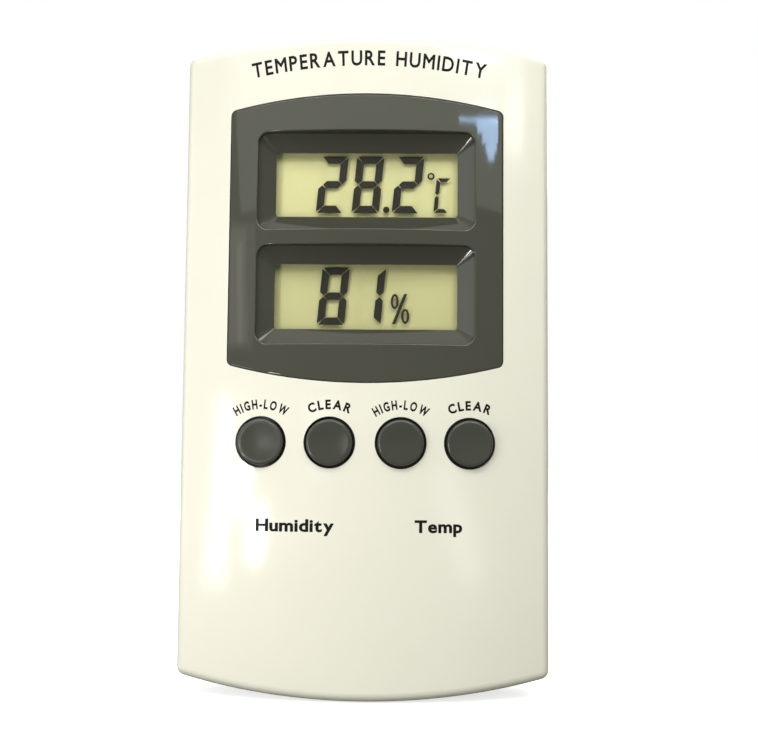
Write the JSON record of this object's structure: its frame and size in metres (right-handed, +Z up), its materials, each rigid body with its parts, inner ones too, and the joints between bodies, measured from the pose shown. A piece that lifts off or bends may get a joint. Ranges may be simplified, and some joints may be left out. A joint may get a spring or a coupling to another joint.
{
  "type": "digital max-min thermo-hygrometer",
  "caption": "Upright wall or desk thermo-hygrometer: bowed cream case, dark panel with two recessed liquid crystal windows, round push buttons, keyhole, fold-out stand and battery door.",
  "frame": {"origin": "centre of the round upper end of the wall keyhole's slot, on the flat back face", "axes": "+X to the right as seen from the front, +Y out of the back towards the wall, +Z up; the front faces -Y"},
  "size_m": [0.0614, 0.0194, 0.11],
  "materials": {
    "cream_gloss_plastic": "glossy moulded",
    "cream_plastic": "fine moulded texture",
    "dark_gloss_plastic": "glossy",
    "button_plastic": "satin",
    "display_film": "clear",
    "display_glass": "clear",
    "display_reflector": "satin",
    "connector_rubber": "matt",
    "holder_plastic": "matt",
    "keypad_rubber": "matt",
    "carbon_rubber": "matt",
    "board_laminate": "solder mask",
    "steel": "zinc plated",
    "nickel_plate": "nickel plated",
    "black_resin": "cast",
    "black_plastic": "matt",
    "capacitor_sleeve": "sleeve",
    "ceramic_chip": "matt",
    "sensor_plastic": "matt",
    "battery_jacket": "printed jacket",
    "red_insulation": "insulation",
    "black_insulation": "insulation"
  },
  "bodies": {
    "body": {"front_case": "cream_gloss_plastic", "rear_case": "cream_plastic", "display_bezel": "dark_gloss_plastic", "upper_lcd_front_polariser": "display_film", "lower_lcd_front_polariser": "display_film", "upper_lcd_front_glass": "display_glass", "lower_lcd_front_glass": "display_glass", "upper_lcd_rear_glass": "display_glass", "lower_lcd_rear_glass": "display_glass", "upper_lcd_reflector": "display_reflector", "lower_lcd_reflector": "display_reflector", "upper_zebra_strip": "connector_rubber", "lower_zebra_strip": "connector_rubber", "lcd_holder": "holder_plastic", "keypad_sheet": "keypad_rubber", "circuit_board": "board_laminate", "board_screws": "steel", "case_screws": "steel", "chip_covers": "black_resin", "crystal_cans": "steel", "electrolytic_capacitor": "capacitor_sleeve", "chip_capacitors": "ceramic_chip", "chip_resistors": "black_resin", "thermistor_bead": "black_resin", "humidity_sensor": "sensor_plastic", "unit_switch_body": "steel", "upper_battery": "battery_jacket", "lower_battery": "battery_jacket", "battery_bridge": "nickel_plate", "battery_negative_terminal": "nickel_plate", "battery_positive_terminal": "nickel_plate", "red_battery_wire": "red_insulation", "black_battery_wire": "black_insulation", "humidity_max_min_button_dome": "keypad_rubber", "humidity_reset_button_dome": "keypad_rubber", "temperature_max_min_button_dome": "keypad_rubber", "temperature_reset_button_dome": "keypad_rubber"},
    "humidity_max_min_button": {"humidity_max_min_button": "button_plastic", "humidity_max_min_button_pill": "carbon_rubber"},
    "humidity_reset_button": {"humidity_reset_button": "button_plastic", "humidity_reset_button_pill": "carbon_rubber"},
    "temperature_max_min_button": {"temperature_max_min_button": "button_plastic", "temperature_max_min_button_pill": "carbon_rubber"},
    "temperature_reset_button": {"temperature_reset_button": "button_plastic", "temperature_reset_button_pill": "carbon_rubber"},
    "battery_door": {"battery_door": "cream_plastic"},
    "fold_out_stand": {"fold_out_stand": "cream_plastic"},
    "unit_switch": {"unit_switch_slider": "black_plastic"}
  },
  "joints": [
    {"name": "humidity_max_min_button_press", "type": "slide", "parent": "body", "child": "humidity_max_min_button", "axis": [0, 1, 0], "range_m": [0, 0.0009], "stiffness_N_per_m": 600, "springref_m": -0.0005, "deforming": ["humidity_max_min_button_dome"]},
    {"name": "humidity_reset_button_press", "type": "slide", "parent": "body", "child": "humidity_reset_button", "axis": [0, 1, 0], "range_m": [0, 0.0009], "stiffness_N_per_m": 600, "springref_m": -0.0005, "deforming": ["humidity_reset_button_dome"]},
    {"name": "temperature_max_min_button_press", "type": "slide", "parent": "body", "child": "temperature_max_min_button", "axis": [0, 1, 0], "range_m": [0, 0.0009], "stiffness_N_per_m": 600, "springref_m": -0.0005, "deforming": ["temperature_max_min_button_dome"]},
    {"name": "temperature_reset_button_press", "type": "slide", "parent": "body", "child": "temperature_reset_button", "axis": [0, 1, 0], "range_m": [0, 0.0009], "stiffness_N_per_m": 600, "springref_m": -0.0005, "deforming": ["temperature_reset_button_dome"]},
    {"name": "battery_door_hinge", "type": "hinge", "parent": "body", "child": "battery_door", "pos_m": [0, -0.0013, -0.091], "axis": [-1, 0, 0], "range_deg": [0, 80]},
    {"name": "stand_hinge", "type": "hinge", "parent": "body", "child": "fold_out_stand", "pos_m": [0, -0.0014, -0.0604], "axis": [-1, 0, 0], "range_deg": [0, 115]},
    {"name": "unit_switch_slide", "type": "slide", "parent": "body", "child": "unit_switch", "axis": [1, 0, 0], "range_m": [0, 0.002]}
  ]
}
